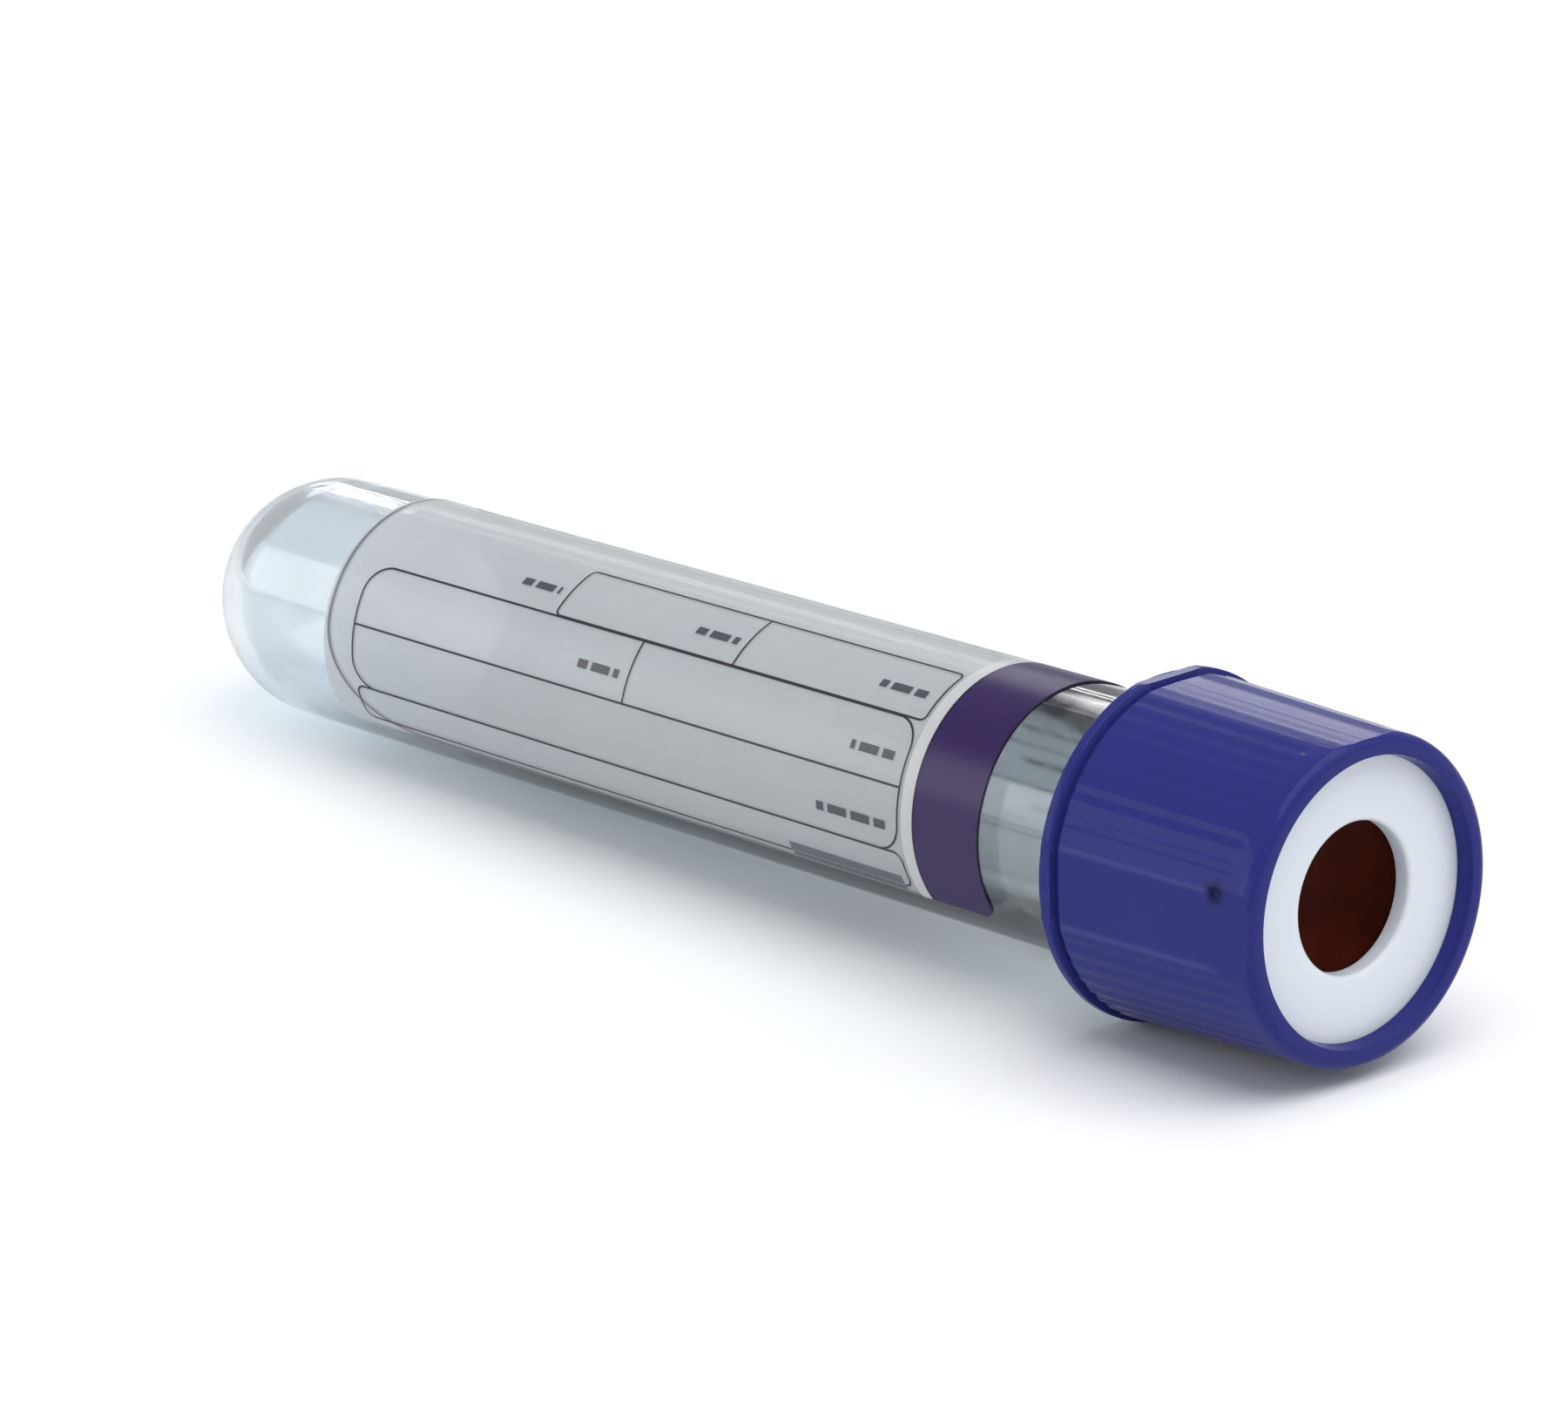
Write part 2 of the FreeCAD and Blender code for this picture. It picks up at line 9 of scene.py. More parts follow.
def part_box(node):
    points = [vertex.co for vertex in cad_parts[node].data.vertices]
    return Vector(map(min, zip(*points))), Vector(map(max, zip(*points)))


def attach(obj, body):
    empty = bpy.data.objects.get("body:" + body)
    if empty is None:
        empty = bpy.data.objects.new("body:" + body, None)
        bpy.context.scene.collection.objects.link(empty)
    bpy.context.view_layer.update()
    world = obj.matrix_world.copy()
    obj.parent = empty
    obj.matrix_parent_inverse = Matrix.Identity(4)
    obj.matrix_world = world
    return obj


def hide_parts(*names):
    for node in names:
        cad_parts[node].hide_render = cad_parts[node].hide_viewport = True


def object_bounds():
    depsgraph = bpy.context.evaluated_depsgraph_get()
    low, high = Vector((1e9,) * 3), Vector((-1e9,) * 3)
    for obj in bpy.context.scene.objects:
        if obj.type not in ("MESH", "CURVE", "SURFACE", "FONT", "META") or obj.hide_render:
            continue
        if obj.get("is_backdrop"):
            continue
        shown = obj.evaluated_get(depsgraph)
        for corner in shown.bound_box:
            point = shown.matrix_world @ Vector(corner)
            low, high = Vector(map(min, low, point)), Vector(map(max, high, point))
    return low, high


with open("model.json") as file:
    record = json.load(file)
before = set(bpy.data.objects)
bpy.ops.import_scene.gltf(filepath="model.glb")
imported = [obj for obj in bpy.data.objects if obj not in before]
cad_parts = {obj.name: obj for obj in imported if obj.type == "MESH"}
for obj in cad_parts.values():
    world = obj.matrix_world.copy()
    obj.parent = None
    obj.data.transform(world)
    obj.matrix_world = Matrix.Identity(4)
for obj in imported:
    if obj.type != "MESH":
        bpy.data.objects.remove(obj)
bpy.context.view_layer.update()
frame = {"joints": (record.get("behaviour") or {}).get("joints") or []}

# === tube =========================================================================================
# An injection-moulded tube of clear PET: a 1 mm wall that tapers towards a round end, a rounded rim
# and three short threads on the neck, which the cap's own threads ride on. Like every piece, it is
# made in millimetres, standing on its round end with the axis up, and is laid down at the end.

RIM = 75.0
MOUTH, END_RADIUS = 6.5, 6.19974
BORE_MOUTH, BORE_END = 5.49999, 5.19974
DRAFT = radians(0.25)
RIM_ROUND = 0.35
END_STEPS, TUBE_STEPS = 28, 224


def draw(bm, *corners):
    """Join corners, each a radius and a height, by straight edges, and return the two ends."""
    spots = [corner if isinstance(corner, bmesh.types.BMVert)
             else bm.verts.new((corner[0], 0, corner[1])) for corner in corners]
    for here, there in zip(spots, spots[1:]):
        bm.edges.new((here, there))
    return spots[0], spots[-1]


def arc(bm, start, height, turn, steps):
    """Draw an arc from a corner, about a centre on the axis, and return its other end."""
    swept = bmesh.ops.spin(bm, geom=[start], cent=(0, 0, height), axis=(0, -1, 0), angle=turn,
                           steps=steps, use_duplicate=False)
    return swept["geom_last"][0]


def turn_round(bm, steps):
    """Turn the outline about the tube's axis into a closed skin that faces outwards."""
    bmesh.ops.spin(bm, geom=bm.verts[:] + bm.edges[:], cent=(0, 0, 0), axis=(0, 0, 1),
                   angle=2 * pi, steps=steps, use_merge=True, use_duplicate=False)
    bmesh.ops.remove_doubles(bm, verts=bm.verts, dist=1e-5)
    bmesh.ops.recalc_face_normals(bm, faces=bm.faces)


def soften(bm, radius, height, width, segments):
    """Round the edge that runs about the axis at that radius and height."""
    def there(vertex):
        return (abs(vertex.co.z - height) < 1e-3
                and abs(vertex.co.xy.length - radius) < 1e-3)
    rim = [edge for edge in bm.edges if all(there(vertex) for vertex in edge.verts)]
    bmesh.ops.bevel(bm, geom=rim, offset=width, offset_type="OFFSET", affect="EDGES",
                    segments=segments, profile=0.5, material=-1, clamp_overlap=True)


def piece(name, bm):
    """Turn a skin into an object of that name, which still stands."""
    mesh = bpy.data.meshes.new(name)
    bm.to_mesh(mesh)
    bm.free()
    made = bpy.data.objects.new(name, mesh)
    bpy.context.scene.collection.objects.link(made)
    return made


bm = bmesh.new()
tip, floor_of_bore = draw(bm, (0, 0))[0], draw(bm, (0, END_RADIUS - BORE_END))[0]
side = arc(bm, tip, END_RADIUS, pi / 2 - DRAFT, END_STEPS)
bore_side = arc(bm, floor_of_bore, END_RADIUS, pi / 2 - DRAFT, END_STEPS)
draw(bm, side, (MOUTH, RIM), (BORE_MOUTH, RIM), bore_side)
turn_round(bm, TUBE_STEPS)
soften(bm, MOUTH, RIM, RIM_ROUND, 5)
soften(bm, BORE_MOUTH, RIM, RIM_ROUND, 5)
tube = piece("clear_tube", bm)

LEAD, RISE = 15.0, 3.3
THREAD_ROOT, THREAD_CREST, CREST_WIDTH = 6.0, 7.0, 0.8
THREAD_MIDDLE = RIM - 7.1
FLANK = radians(27)


def threads(name, root, crest, middle, width, steps=36):
    """Three short threads with sloping sides, as one skin each."""
    bm = bmesh.new()
    reach = abs(root - crest) * tan(FLANK) + width / 2
    first, last = draw(bm, (root, middle - reach), (root, middle + reach),
                       (crest, middle + width / 2), (crest, middle - width / 2))
    bm.edges.new((first, last))
    bmesh.ops.contextual_create(bm, geom=bm.edges[:])
    bmesh.ops.spin(bm, geom=bm.faces[:], cent=(0, 0, 0), axis=(0, 0, 1),
                   dvec=(0, 0, RISE / steps), angle=2 * pi * RISE / LEAD, steps=steps,
                   use_duplicate=False)
    one = bm.verts[:] + bm.edges[:] + bm.faces[:]
    for third in (1, 2):
        copied = bmesh.ops.duplicate(bm, geom=one)["geom"]
        bmesh.ops.rotate(
            bm, verts=[item for item in copied if isinstance(item, bmesh.types.BMVert)],
            matrix=Matrix.Rotation(third * 2 * pi / 3, 3, "Z"))
    bmesh.ops.recalc_face_normals(bm, faces=bm.faces)
    return piece(name, bm)


def carve(made, tool, operation):
    """Cut a tool out of a piece, or join it on, and drop the tool."""
    step = made.modifiers.new("Carve", "BOOLEAN")
    step.operation = operation
    step.solver = "EXACT"
    step.object = tool
    carved = bpy.data.meshes.new_from_object(
        made.evaluated_get(bpy.context.evaluated_depsgraph_get()))
    made.modifiers.clear()
    made.data = carved
    bpy.data.objects.remove(tool)


carve(tube, threads("neck_threads", THREAD_ROOT, THREAD_CREST, THREAD_MIDDLE, CREST_WIDTH),
      "UNION")


def colour(code):
    """A hex colour as linear red, green and blue, with full alpha."""
    parts = [int(code[i:i + 2], 16) / 255 for i in (1, 3, 5)]
    return [p / 12.92 if p <= 0.04045 else ((p + 0.055) / 1.055) ** 2.4 for p in parts] + [1]


def node(material, kind, inputs=None, **settings):
    """Add a node to a material with its settings, and set or link its inputs."""
    new = material.node_tree.nodes.new(kind)
    for name, value in settings.items():
        setattr(new, name, value)
    for name, value in (inputs or {}).items():
        if isinstance(value, bpy.types.NodeSocket):
            material.node_tree.links.new(value, new.inputs[name])
        else:
            new.inputs[name].default_value = value
    return new


def blank(name):
    """A new material with an empty node tree."""
    material = bpy.data.materials.new(name)
    material.use_nodes = True
    material.node_tree.nodes.clear()
    return material


# PET is clear with a faint cool tint and a high gloss. The mould leaves the wall very slightly
# wavy, with waves about 6 mm long, and handling leaves patches of fine haze about 1 mm across.
# Shadow rays pass, so that light reaches what is behind the wall.
clear_pet = blank("Clear PET, injection moulded")
where = node(clear_pet, "ShaderNodeTexCoord").outputs["Object"]
waves = node(clear_pet, "ShaderNodeTexNoise", {"Vector": where, "Scale": 1000 / 6, "Detail": 1.0})
wavy = node(clear_pet, "ShaderNodeBump", {
    "Height": waves.outputs["Fac"], "Strength": 0.03, "Distance": 0.0004})
haze = node(clear_pet, "ShaderNodeTexNoise", {"Vector": where, "Scale": 1000 / 1, "Detail": 3.0})
gloss = node(clear_pet, "ShaderNodeMapRange", {
    "Value": haze.outputs["Fac"], "From Min": 0.35, "From Max": 0.75, "To Min": 0.05,
    "To Max": 0.14})
wall = node(clear_pet, "ShaderNodeBsdfPrincipled", {
    "Base Color": colour("#E4EAEE"), "Roughness": gloss.outputs["Result"], "IOR": 1.575,
    "Transmission Weight": 1.0, "Normal": wavy.outputs["Normal"]})
unshaded = node(clear_pet, "ShaderNodeBsdfTransparent", {"Color": colour("#E6EBEE")})
ray = node(clear_pet, "ShaderNodeLightPath")
either = node(clear_pet, "ShaderNodeMixShader", {
    0: ray.outputs["Is Shadow Ray"], 1: wall.outputs["BSDF"], 2: unshaded.outputs["BSDF"]})
node(clear_pet, "ShaderNodeOutputMaterial", {"Surface": either.outputs["Shader"]})

# the closed tube rests on its round end and on the collar of its cap, so its axis climbs a little
along = Vector(frame["joints"][0]["axis"]).normalized()
end_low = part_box("tube")[0]
laid = (Matrix.Translation((end_low.x + END_RADIUS / 1000, 0, END_RADIUS / 1000))
        @ Matrix.Rotation(acos(along.z), 4, "Y")
        @ Matrix.Scale(0.001, 4)
        @ Matrix.Translation((0, 0, -END_RADIUS)))


def finished(made, body, slot, *materials):
    """Lay a piece down, smooth its small angles, and hand it to the body that it moves with."""
    made.data.transform(laid)
    made.data.shade_smooth()
    made.data.set_sharp_from_angle(angle=radians(32))
    made.data.materials.clear()
    for material in materials:
        made.data.materials.append(material)
    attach(made, body)


finished(tube, "tube_body", "clear_plastic", clear_pet)
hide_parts("tube")

# === label ========================================================================================
# A printed polypropylene film, cut out flat with rounded corners and rolled on to the tube. It
# stops short of its other edge, so a clear strip is left to show the blood level. The film is sunk
# a hundredth of a millimetre in the wall, because its adhesive leaves no air under it.

LABEL_FOOT, LABEL_HEAD = 12.2, 59.9
LENGTH = LABEL_HEAD - LABEL_FOOT
SWEEP, START = 295.0, 12.0
FILM, SUNK, CORNER = 0.1, 0.01, 1.0
DEGREE = MOUTH * radians(1)
STRIPS = 148

bm = bmesh.new()
bmesh.ops.create_grid(bm, x_segments=1, y_segments=1, size=0.5)
bmesh.ops.scale(bm, vec=(SWEEP * DEGREE, LENGTH, 1), verts=bm.verts)
bmesh.ops.translate(bm, vec=(SWEEP * DEGREE / 2, LABEL_FOOT + LENGTH / 2, 0), verts=bm.verts)
bmesh.ops.bevel(bm, geom=bm.verts[:], offset=CORNER, offset_type="OFFSET",
                affect="VERTICES", segments=8, profile=0.5, material=-1)
for cut in range(1, STRIPS):
    bmesh.ops.bisect_plane(bm, geom=bm.verts[:] + bm.edges[:] + bm.faces[:],
                           plane_co=(cut * SWEEP / STRIPS * DEGREE, 0, 0), plane_no=(1, 0, 0))
print_map = bm.loops.layers.uv.new("Print")
for face in bm.faces:
    for loop in face.loops:
        loop[print_map].uv = (loop.vert.co.x / DEGREE / SWEEP,
                              (loop.vert.co.y - LABEL_FOOT) / LENGTH)
front = bmesh.ops.extrude_face_region(bm, geom=bm.faces[:], use_keep_orig=True)["geom"]
bmesh.ops.translate(bm, vec=(0, 0, FILM),
                    verts=[item for item in front if isinstance(item, bmesh.types.BMVert)])
for face in bm.faces:
    face.material_index = 0 if face.calc_center_median().z > FILM / 4 else 1
for vertex in bm.verts:
    turned = radians(START + vertex.co.x / DEGREE)
    height = vertex.co.y
    radius = MOUTH - (RIM - height) * tan(DRAFT) - SUNK + vertex.co.z
    vertex.co = (radius * cos(turned), radius * sin(turned), height)
bmesh.ops.recalc_face_normals(bm, faces=bm.faces)
label = piece("printed_label", bm)

# The film is frosted and satin coated: a soft gloss over a faintly mottled grey, with mottles about
# 4 mm across, which lets part of the light straight through. Ink lies flat on it and is opaque.
film = blank("Polypropylene film, printed and satin coated")
sheet = node(film, "ShaderNodeUVMap", uv_map="Print").outputs["UV"]

# places on the print are millimetres round the tube from its upper side, and from its round end
place = node(film, "ShaderNodeVectorMath", {
    0: sheet, 1: (SWEEP * DEGREE, LENGTH, 0), 2: ((START - 180) * DEGREE, LABEL_FOOT, 0)},
    operation="MULTIPLY_ADD").outputs["Vector"]
apart = node(film, "ShaderNodeSeparateXYZ", {"Vector": place})


def patch(low, high, first, last, corner=0.05, line=None):
    """1 in a patch between two heights and two angles, or on its outline, and 0 elsewhere."""
    middle = ((first + last) / 2 * DEGREE, (low + high) / 2, 0)
    half = ((last - first) / 2 * DEGREE - corner, (high - low) / 2 - corner, 1)
    away = place
    for operation, other in (("SUBTRACT", middle), ("ABSOLUTE", middle), ("SUBTRACT", half),
                             ("MAXIMUM", (0, 0, 0)), ("LENGTH", middle)):
        step = node(film, "ShaderNodeVectorMath", {0: away, 1: other}, operation=operation)
        away = step.outputs["Value" if operation == "LENGTH" else "Vector"]
    if line:
        return node(film, "ShaderNodeMath", {0: away, 1: corner - line / 2, 2: line / 2},
                    operation="COMPARE").outputs[0]
    return node(film, "ShaderNodeMath", {0: away, 1: corner}, operation="LESS_THAN").outputs[0]


def all_of(*patches):
    """1 wherever any of the patches is 1."""
    covered = patches[0]
    for other in patches[1:]:
        covered = node(film, "ShaderNodeMath", {0: covered, 1: other},
                       operation="MAXIMUM").outputs[0]
    return covered


def broken(patches, pitch, share):
    """Break patches into short marks, one every pitch along the tube."""
    count = node(film, "ShaderNodeMath", {0: apart.outputs["Y"], 1: 1 / pitch},
                 operation="MULTIPLY").outputs[0]
    part = node(film, "ShaderNodeMath", {0: count}, operation="FRACT").outputs[0]
    mark = node(film, "ShaderNodeMath", {0: part, 1: share}, operation="LESS_THAN").outputs[0]
    return node(film, "ShaderNodeMath", {0: patches, 1: mark}, operation="MULTIPLY").outputs[0]


def printed(ground, ink, covered):
    """Print an ink over a ground colour wherever it is covered."""
    return node(film, "ShaderNodeMix", {0: covered, 6: ground, 7: ink},
                data_type="RGBA").outputs[2]


mottle = node(film, "ShaderNodeTexNoise", {
    "Vector": node(film, "ShaderNodeTexCoord").outputs["Object"], "Scale": 1000 / 4,
    "Detail": 4.0})
ground = node(film, "ShaderNodeMix", {
    0: mottle.outputs["Fac"], 6: colour("#EDEFF1"), 7: colour("#F5F6F7")},
    data_type="RGBA").outputs[2]

RULE, CAPTION_PITCH, CAPTION_SHARE = 0.12, 1.6, 0.82
BAND_FOOT, BAND_HEAD = 55.6, 59.8
BOX_FOOT, BOX_HEAD = 14.4, 54.5
ALL_ROUND = (-170, 130)
rules = all_of(
    patch(BOX_FOOT, BOX_HEAD, 45, 105, 1.6, RULE),
    patch(BOX_FOOT, BOX_HEAD, 75 - 0.5, 75 + 0.5),
    patch(28.0, BOX_HEAD, 16, 45.6, 0.4, RULE),
    patch(41 - RULE / 2, 41 + RULE / 2, 16, 45),
    patch(34.7 - RULE / 2, 34.7 + RULE / 2, 45, 75),
    patch(BOX_FOOT, BOX_HEAD, 104, 123, 0.6, RULE),
    patch(BOX_FOOT, BOX_HEAD, -134, -14, 1.6, RULE),
    patch(BOX_FOOT, BOX_HEAD, -104.5, -103.5),
    patch(BOX_FOOT, BOX_HEAD, -74.5, -73.5),
    patch(BOX_FOOT, BOX_HEAD, -44.5, -43.5))
captions = broken(all_of(
    patch(24.6, 27.4, 31, 35), patch(37.4, 40.4, 31, 35), patch(50.4, 53.6, 31, 35),
    patch(50.6, 53.6, 61, 65), patch(31.0, 34.0, 61, 65), patch(48.8, 53.6, 91, 95),
    patch(47, 53.6, -27, -23), patch(49.5, 53.6, -58, -54), patch(48, 53.6, -89, -85),
    patch(50.4, 53.6, -119, -115)), CAPTION_PITCH, CAPTION_SHARE)
# painted shade: a grey line 0.2 mm inside the film's edge, rounded 6 mm at its foot, standing in
# for the shade and refraction along that edge
painted_edge_shade = patch(LABEL_FOOT + 0.2, BAND_FOOT + 9, -168, 127, 6.0, 0.2)
print_colour = printed(ground, colour("#94969C"), painted_edge_shade)
print_colour = printed(print_colour, colour("#3A3C42"), rules)
print_colour = printed(print_colour, colour("#62646C"), captions)
print_colour = printed(print_colour, colour("#94969E"), patch(46, 53.9, 117, 127.6))
print_colour = printed(print_colour, colour("#EEF0F2"), patch(54.75, 55.45, -168, 128))
print_colour = printed(print_colour, colour("#22103F"),
                       patch(BAND_FOOT - 0.15, BAND_HEAD + 0.3, *ALL_ROUND))
print_colour = printed(print_colour, colour("#3B1C69"), patch(BAND_FOOT, BAND_HEAD, *ALL_ROUND))

band = patch(BAND_FOOT - 0.9, BAND_HEAD + 0.3, *ALL_ROUND)
opaque = all_of(band, rules, captions, painted_edge_shade)
sheer = node(film, "ShaderNodeMapRange", {"Value": opaque, "To Min": 0.42, "To Max": 0.0})
inked = node(film, "ShaderNodeBsdfPrincipled", {
    "Base Color": print_colour, "Roughness": 0.26, "IOR": 1.49, "Specular IOR Level": 0.75})
lit_through = node(film, "ShaderNodeBsdfTranslucent", {"Color": print_colour})
thin = node(film, "ShaderNodeMixShader", {
    0: 0.48, 1: inked.outputs["BSDF"], 2: lit_through.outputs["BSDF"]})
straight = node(film, "ShaderNodeBsdfTransparent", {"Color": colour("#F4F6F7")})
seen_through = node(film, "ShaderNodeMixShader", {
    0: sheer.outputs["Result"], 1: thin.outputs["Shader"], 2: straight.outputs["BSDF"]})
node(film, "ShaderNodeOutputMaterial", {"Surface": seen_through.outputs["Shader"]})

# From inside the tube the film shows its unprinted back: plain pale film, dulled by its adhesive,
# which is patchy over about 2 mm, with a white underprint behind the band.
back = blank("Polypropylene film, unprinted back")
glue = node(back, "ShaderNodeTexNoise", {
    "Vector": node(back, "ShaderNodeTexCoord").outputs["Object"], "Scale": 1000 / 2,
    "Detail": 2.0})
pale = node(back, "ShaderNodeMix", {
    0: glue.outputs["Fac"], 6: colour("#E0E3E6"), 7: colour("#EAECEE")}, data_type="RGBA")
plain = node(back, "ShaderNodeBsdfPrincipled", {
    "Base Color": pale.outputs[2], "Roughness": 0.55, "IOR": 1.49})
height_on_film = node(back, "ShaderNodeSeparateXYZ", {
    "Vector": node(back, "ShaderNodeUVMap", uv_map="Print").outputs["UV"]}).outputs["Y"]
behind_band = node(back, "ShaderNodeMath", {
    0: height_on_film, 1: (BAND_FOOT - LABEL_FOOT) / LENGTH}, operation="GREATER_THAN")
sheer_back = node(back, "ShaderNodeMapRange", {
    "Value": behind_band.outputs[0], "To Min": 0.6, "To Max": 0.0})
see_through = node(back, "ShaderNodeBsdfTransparent", {"Color": colour("#FFFFFF")})
thin_back = node(back, "ShaderNodeMixShader", {
    0: sheer_back.outputs["Result"], 1: plain.outputs["BSDF"], 2: see_through.outputs["BSDF"]})
node(back, "ShaderNodeOutputMaterial", {"Surface": thin_back.outputs["Shader"]})
finished(label, "tube_body", "label_film", film, back)
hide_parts("label")

# === stopper ======================================================================================
# Moulded butyl rubber, dark red-brown: a hollow plug with two sealing bands, a flange that seats on
# the rim, and a dish in the flange's top where a needle goes through.

FLANGE, FLANGE_FOOT, FLANGE_TOP = 7.05, 75.05, 77.15
DISH, DISH_DEPTH = 3.5, 0.9
PLUG_FOOT, HOLLOW, DOME_MIDDLE = 66.5, 3.4329, 68.0
PLUG, RELIEF = 5.4329, 5.1829
UPPER_SEAL, LOWER_SEAL, SEAL_WIDTH, SEAL_SLOPE = 74.25, 68.8, 1.5, 0.25
DISH_STEPS, STOPPER_STEPS = 20, 128

bm = bmesh.new()
dish_sphere = (DISH ** 2 + DISH_DEPTH ** 2) / (2 * DISH_DEPTH)
dish_middle = FLANGE_TOP - DISH_DEPTH + dish_sphere
dish = draw(bm, (0, FLANGE_TOP - DISH_DEPTH))[0]
dish_edge = arc(bm, dish, dish_middle, acos((dish_sphere - DISH_DEPTH) / dish_sphere),
                DISH_STEPS)
dome = draw(bm, (0, DOME_MIDDLE + HOLLOW))[0]
hollow_side = arc(bm, dome, DOME_MIDDLE, -pi / 2, DISH_STEPS)
draw(bm, dish_edge, (FLANGE, FLANGE_TOP), (FLANGE, FLANGE_FOOT), (RELIEF, FLANGE_FOOT),
     (RELIEF, UPPER_SEAL + SEAL_SLOPE), (PLUG, UPPER_SEAL), (PLUG, UPPER_SEAL - SEAL_WIDTH),
     (RELIEF, UPPER_SEAL - SEAL_WIDTH - SEAL_SLOPE), (RELIEF, LOWER_SEAL + SEAL_SLOPE),
     (PLUG, LOWER_SEAL), (PLUG, LOWER_SEAL - SEAL_WIDTH), (RELIEF, PLUG_FOOT),
     (HOLLOW, PLUG_FOOT), hollow_side)
turn_round(bm, STOPPER_STEPS)
stopper = piece("rubber_stopper", bm)

# Moulded rubber is matt, with a faint skin sheen. Its filler shows as an uneven grain, drawn at
# 0.4 mm, coarser than the real one, and its bloom clouds it over about 3 mm.
rubber = blank("Butyl rubber, moulded")
where = node(rubber, "ShaderNodeTexCoord").outputs["Object"]
grain = node(rubber, "ShaderNodeTexNoise", {"Vector": where, "Scale": 1000 / 0.4, "Detail": 3.0})
bloom = node(rubber, "ShaderNodeTexNoise", {"Vector": where, "Scale": 1000 / 3, "Detail": 2.0})
brown = node(rubber, "ShaderNodeMix", {
    0: bloom.outputs["Fac"], 6: colour("#190402"), 7: colour("#401306")}, data_type="RGBA")
pitted = node(rubber, "ShaderNodeBump", {
    "Height": grain.outputs["Fac"], "Strength": 0.2, "Distance": 0.00003})
skin = node(rubber, "ShaderNodeBsdfPrincipled", {
    "Base Color": brown.outputs[2], "Roughness": 0.55, "IOR": 1.52, "Specular IOR Level": 0.02,
    "Normal": pitted.outputs["Normal"]})
node(rubber, "ShaderNodeOutputMaterial", {"Surface": skin.outputs["BSDF"]})
finished(stopper, "stopper_body", "stopper_rubber", rubber)
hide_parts("stopper")

# === colour ring ==================================================================================
# A flat ring of white polypropylene, clipped under the shell's lip. The edge of its hole is rounded
# to lead the needle in.

RING_FOOT, RING_TOP, RING_HOLE, RING_OUT = 77.2, 78.1, 3.65, 7.1
HOLE_ROUND, RING_STEPS = 0.25, 160

bm = bmesh.new()
first, last = draw(bm, (RING_HOLE, RING_FOOT), (RING_OUT, RING_FOOT), (RING_OUT, RING_TOP),
                   (RING_HOLE, RING_TOP))
bm.edges.new((first, last))
turn_round(bm, RING_STEPS)
soften(bm, RING_HOLE, RING_TOP, HOLE_ROUND, 6)
ring = piece("white_ring", bm)

# White polypropylene is milky: light goes a little way in, so its edges look soft. Its moulded skin
# ripples very finely, over about 0.8 mm.
white = blank("White polypropylene, injection moulded")
where = node(white, "ShaderNodeTexCoord").outputs["Object"]
ripple = node(white, "ShaderNodeTexNoise", {"Vector": where, "Scale": 1000 / 0.8, "Detail": 2.0})
rippled = node(white, "ShaderNodeBump", {
    "Height": ripple.outputs["Fac"], "Strength": 0.08, "Distance": 0.00002})
milk = node(white, "ShaderNodeBsdfPrincipled", {
    "Base Color": colour("#D8DDE5"), "Roughness": 0.32, "IOR": 1.49, "Subsurface Weight": 0.3,
    "Subsurface Scale": 0.0008, "Subsurface Radius": (1.0, 0.9, 0.8),
    "Normal": rippled.outputs["Normal"]})
node(white, "ShaderNodeOutputMaterial", {"Surface": milk.outputs["BSDF"]})
finished(ring, "cap_body", "ring_plastic", white)
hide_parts("cap_ring")

# === cap shell ====================================================================================
# A moulded violet polyethylene skirt: a collar with a fine undercut above it round its lower end,
# four flat grips with fine ribs between them, a rounded crown, and a lip over the ring's edge.

SKIRT_FOOT, COLLAR_FOOT, COLLAR_TOP, LEDGE, CROWN = 65.3, 66.0, 66.5, 66.6, 79.0
LIP, LIP_TOP, LIP_FOOT = 6.8, 6.95, 78.15
CAVITY, CAVITY_FOOT, SKIRT_MOUTH = 7.15, 65.7, 7.35
NECK_CLEAR, BEAD_TOP, BEAD_FOOT, BEAD_SLOPE = 6.6, 74.5, 74.0, 0.45
FOOT_WALL, CROWN_WALL, COLLAR, SKIRT_EDGE = 8.3, 7.95, 8.5, 7.65
CROWN_ROUND, COLLAR_ROUND, LIP_ROUND = 0.55, 0.08, 0.05
HALF_GRIP, GRIP_BOW, GRIP_BLEND = radians(13.5), 30, 0.03
COLLAR_FLAT = FOOT_WALL * cos(HALF_GRIP) + 0.2
UNDERCUT, UNDERCUT_FOOT, UNDERCUT_HEAD = 0.22, 66.62, 66.72
SINK_DEPTH, SINK_PITCH = 0.003, 1.15
RIB_DEPTH, RIB_PITCH, RIBS_TOP, RIBS_FADE = 0.02, radians(6.4), 78.0, 0.8
HALF_GROUP = 4.5 * RIB_PITCH
# half the width of the painted highlight along each grip's edge, and the height where it stops
HALF_EDGE_HIGHLIGHT, EDGE_HIGHLIGHT_TOP = radians(1.8), 76.5
SHELL_STEPS = 720


def wall_at(height):
    """The wall's radius at a height."""
    return FOOT_WALL + (CROWN_WALL - FOOT_WALL) * (height - LEDGE) / (CROWN - LEDGE)


